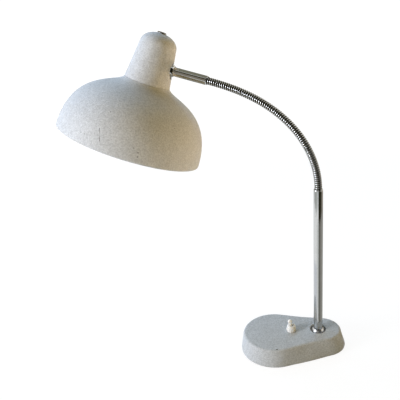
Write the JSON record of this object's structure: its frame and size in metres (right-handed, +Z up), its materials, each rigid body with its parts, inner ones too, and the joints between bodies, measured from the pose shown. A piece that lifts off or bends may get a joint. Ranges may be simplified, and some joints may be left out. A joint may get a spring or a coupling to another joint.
{
  "type": "desk lamp",
  "caption": "Desk lamp with a pear-shaped iron foot, a chrome stem on a ball joint, a ribbed gooseneck and a bell shade with a tapered neck on a second ball joint.",
  "frame": {"origin": "on the table, at the underside of the felt, under the centre of the foot's ball joint", "axes": "+Z up along the stem as stored; +X along the foot's long axis towards its narrow toe, with the round heel and the switch towards -X; +Y towards the flank with the cord bush"},
  "size_m": [0.3629, 0.2139, 0.4302],
  "materials": {
    "foot_lacquer": "satin",
    "shade_lacquer": "satin",
    "chrome_plate": "polished",
    "plain_steel": "satin",
    "brass": "satin",
    "cream_plastic": "satin",
    "dark_plastic": "satin",
    "black_rubber": "matte",
    "felt": "matte",
    "fibre": "matte",
    "opal_glass": "gloss"
  },
  "bodies": {
    "foot": {"foot_casting": "foot_lacquer", "base_plate": "plain_steel", "base_felt": "felt", "plate_screw_1": "plain_steel", "plate_screw_2": "plain_steel", "plate_screw_3": "plain_steel", "cord_bush": "black_rubber", "socket_ring": "plain_steel", "base_spring_washer": "plain_steel", "socket_plug": "plain_steel", "switch_case": "dark_plastic", "switch_bushing": "plain_steel", "switch_collar": "cream_plastic", "switch_locknut": "plain_steel", "switch_terminal_1": "brass", "switch_terminal_2": "brass"},
    "switch_lever": {"switch_lever": "cream_plastic"},
    "base_cup": {"base_friction_cup": "brass"},
    "base_liner": {"base_liner": "fibre"},
    "stem": {"stem_ball": "chrome_plate", "stem_tube": "chrome_plate", "stem_ferrule": "chrome_plate"},
    "neck_01": {"neck_segment_01": "chrome_plate"},
    "neck_02": {"neck_segment_02": "chrome_plate"},
    "neck_03": {"neck_segment_03": "chrome_plate"},
    "neck_04": {"neck_segment_04": "chrome_plate"},
    "neck_05": {"neck_segment_05": "chrome_plate"},
    "neck_06": {"neck_segment_06": "chrome_plate"},
    "neck_07": {"neck_segment_07": "chrome_plate"},
    "neck_08": {"neck_segment_08": "chrome_plate"},
    "neck_09": {"neck_segment_09": "chrome_plate"},
    "neck_10": {"neck_segment_10": "chrome_plate"},
    "neck_11": {"neck_segment_11": "chrome_plate"},
    "head_arm": {"head_tube": "chrome_plate", "head_ball": "chrome_plate"},
    "head_liner": {"head_liner": "fibre"},
    "head_cup": {"head_friction_cup": "brass"},
    "head": {"neck_housing": "shade_lacquer", "bell_shade": "shade_lacquer", "head_socket": "plain_steel", "head_spring_washer": "plain_steel", "head_socket_plug": "plain_steel", "top_nut": "chrome_plate", "threaded_tube": "plain_steel", "clamp_disc": "plain_steel", "clamp_nut": "plain_steel", "holder_cap": "dark_plastic", "holder_body": "dark_plastic", "holder_contact": "brass", "bulb_cap": "brass", "bulb_glass": "opal_glass"}
  },
  "joints": [
    {"name": "switch_toggle", "type": "hinge", "parent": "foot", "child": "switch_lever", "pos_m": [-0.0369, 0, 0.0276], "axis": [0, 1, 0], "range_deg": [0, 16]},
    {"name": "base_swivel", "type": "hinge", "parent": "foot", "child": "base_cup", "pos_m": [0, 0, 0.0216], "axis": [0, 0, 1], "range_deg": [-150, 150]},
    {"name": "base_tilt_fore", "type": "hinge", "parent": "base_cup", "child": "base_liner", "pos_m": [0, 0, 0.0216], "axis": [0.4289, 0.9033, 0], "range_deg": [-20, 20]},
    {"name": "base_tilt_side", "type": "hinge", "parent": "base_liner", "child": "stem", "pos_m": [0, 0, 0.0216], "axis": [0.9033, -0.4289, 0], "range_deg": [-20, 20]},
    {"name": "neck_bend_lower", "type": "hinge", "parent": "stem", "child": "neck_01", "pos_m": [0, 0, 0.2379], "axis": [-0.4289, -0.9033, 0], "range_deg": [-13, 10]},
    {"name": "neck_side", "type": "hinge", "parent": "neck_01", "child": "neck_02", "pos_m": [-0.00154, 0.00073, 0.25669], "axis": [0.8888, -0.422, 0.1786], "range_deg": [-10, 10]},
    {"name": "neck_bend_lower_2", "type": "hinge", "parent": "neck_02", "child": "neck_03", "pos_m": [-0.00603, 0.00286, 0.27489], "axis": [-0.4289, -0.9033, 0], "range_deg": [-13, 10]},
    {"name": "neck_side_2", "type": "hinge", "parent": "neck_03", "child": "neck_04", "pos_m": [-0.01322, 0.00628, 0.292], "axis": [0.7854, -0.3729, 0.4941], "range_deg": [-10, 10]},
    {"name": "neck_bend_lower_3", "type": "hinge", "parent": "neck_04", "child": "neck_05", "pos_m": [-0.02277, 0.01081, 0.30763], "axis": [-0.4289, -0.9033, 0], "range_deg": [-13, 10]},
    {"name": "neck_side_3", "type": "hinge", "parent": "neck_05", "child": "neck_06", "pos_m": [-0.03432, 0.0163, 0.32152], "axis": [0.62, -0.2944, 0.7273], "range_deg": [-10, 10]},
    {"name": "neck_bend_upper", "type": "hinge", "parent": "neck_06", "child": "neck_07", "pos_m": [-0.04747, 0.02254, 0.33354], "axis": [-0.4289, -0.9033, 0], "range_deg": [-13, 10]},
    {"name": "neck_side_4", "type": "hinge", "parent": "neck_07", "child": "neck_08", "pos_m": [-0.06185, 0.02937, 0.34368], "axis": [0.4414, -0.2096, 0.8725], "range_deg": [-10, 10]},
    {"name": "neck_bend_upper_2", "type": "hinge", "parent": "neck_08", "child": "neck_09", "pos_m": [-0.07714, 0.03663, 0.35205], "axis": [-0.4289, -0.9033, 0], "range_deg": [-13, 10]},
    {"name": "neck_side_5", "type": "hinge", "parent": "neck_09", "child": "neck_10", "pos_m": [-0.09306, 0.04419, 0.35885], "axis": [0.2917, -0.1385, 0.9464], "range_deg": [-10, 10]},
    {"name": "neck_bend_upper_3", "type": "hinge", "parent": "neck_10", "child": "neck_11", "pos_m": [-0.10938, 0.05194, 0.36436], "axis": [-0.4289, -0.9033, 0], "range_deg": [-13, 10]},
    {"name": "neck_side_6", "type": "hinge", "parent": "neck_11", "child": "head_arm", "pos_m": [-0.12594, 0.0598, 0.3689], "axis": [0.2001, -0.095, 0.9751], "range_deg": [-10, 10]},
    {"name": "head_nod", "type": "hinge", "parent": "head_arm", "child": "head_liner", "pos_m": [-0.17413, 0.08268, 0.38102], "axis": [0.4289, 0.9033, 0], "range_deg": [-25, 10]},
    {"name": "head_swing", "type": "hinge", "parent": "head_liner", "child": "head_cup", "pos_m": [-0.17413, 0.08268, 0.38102], "axis": [0.3852, 0.1371, 0.9126], "range_deg": [-20, 8]},
    {"name": "head_roll", "type": "hinge", "parent": "head_cup", "child": "head", "pos_m": [-0.17413, 0.08268, 0.38102], "axis": [0.9188, -0.1495, -0.3653], "range_deg": [-60, 60]}
  ],
  "couplings": [
    {"joint": "neck_bend_lower_2", "follows": "neck_bend_lower", "ratio": 1},
    {"joint": "neck_bend_lower_3", "follows": "neck_bend_lower", "ratio": 1},
    {"joint": "neck_bend_upper_2", "follows": "neck_bend_upper", "ratio": 1},
    {"joint": "neck_bend_upper_3", "follows": "neck_bend_upper", "ratio": 1},
    {"joint": "neck_side_2", "follows": "neck_side", "ratio": 1},
    {"joint": "neck_side_3", "follows": "neck_side", "ratio": 1},
    {"joint": "neck_side_4", "follows": "neck_side", "ratio": 1},
    {"joint": "neck_side_5", "follows": "neck_side", "ratio": 1},
    {"joint": "neck_side_6", "follows": "neck_side", "ratio": 1}
  ]
}
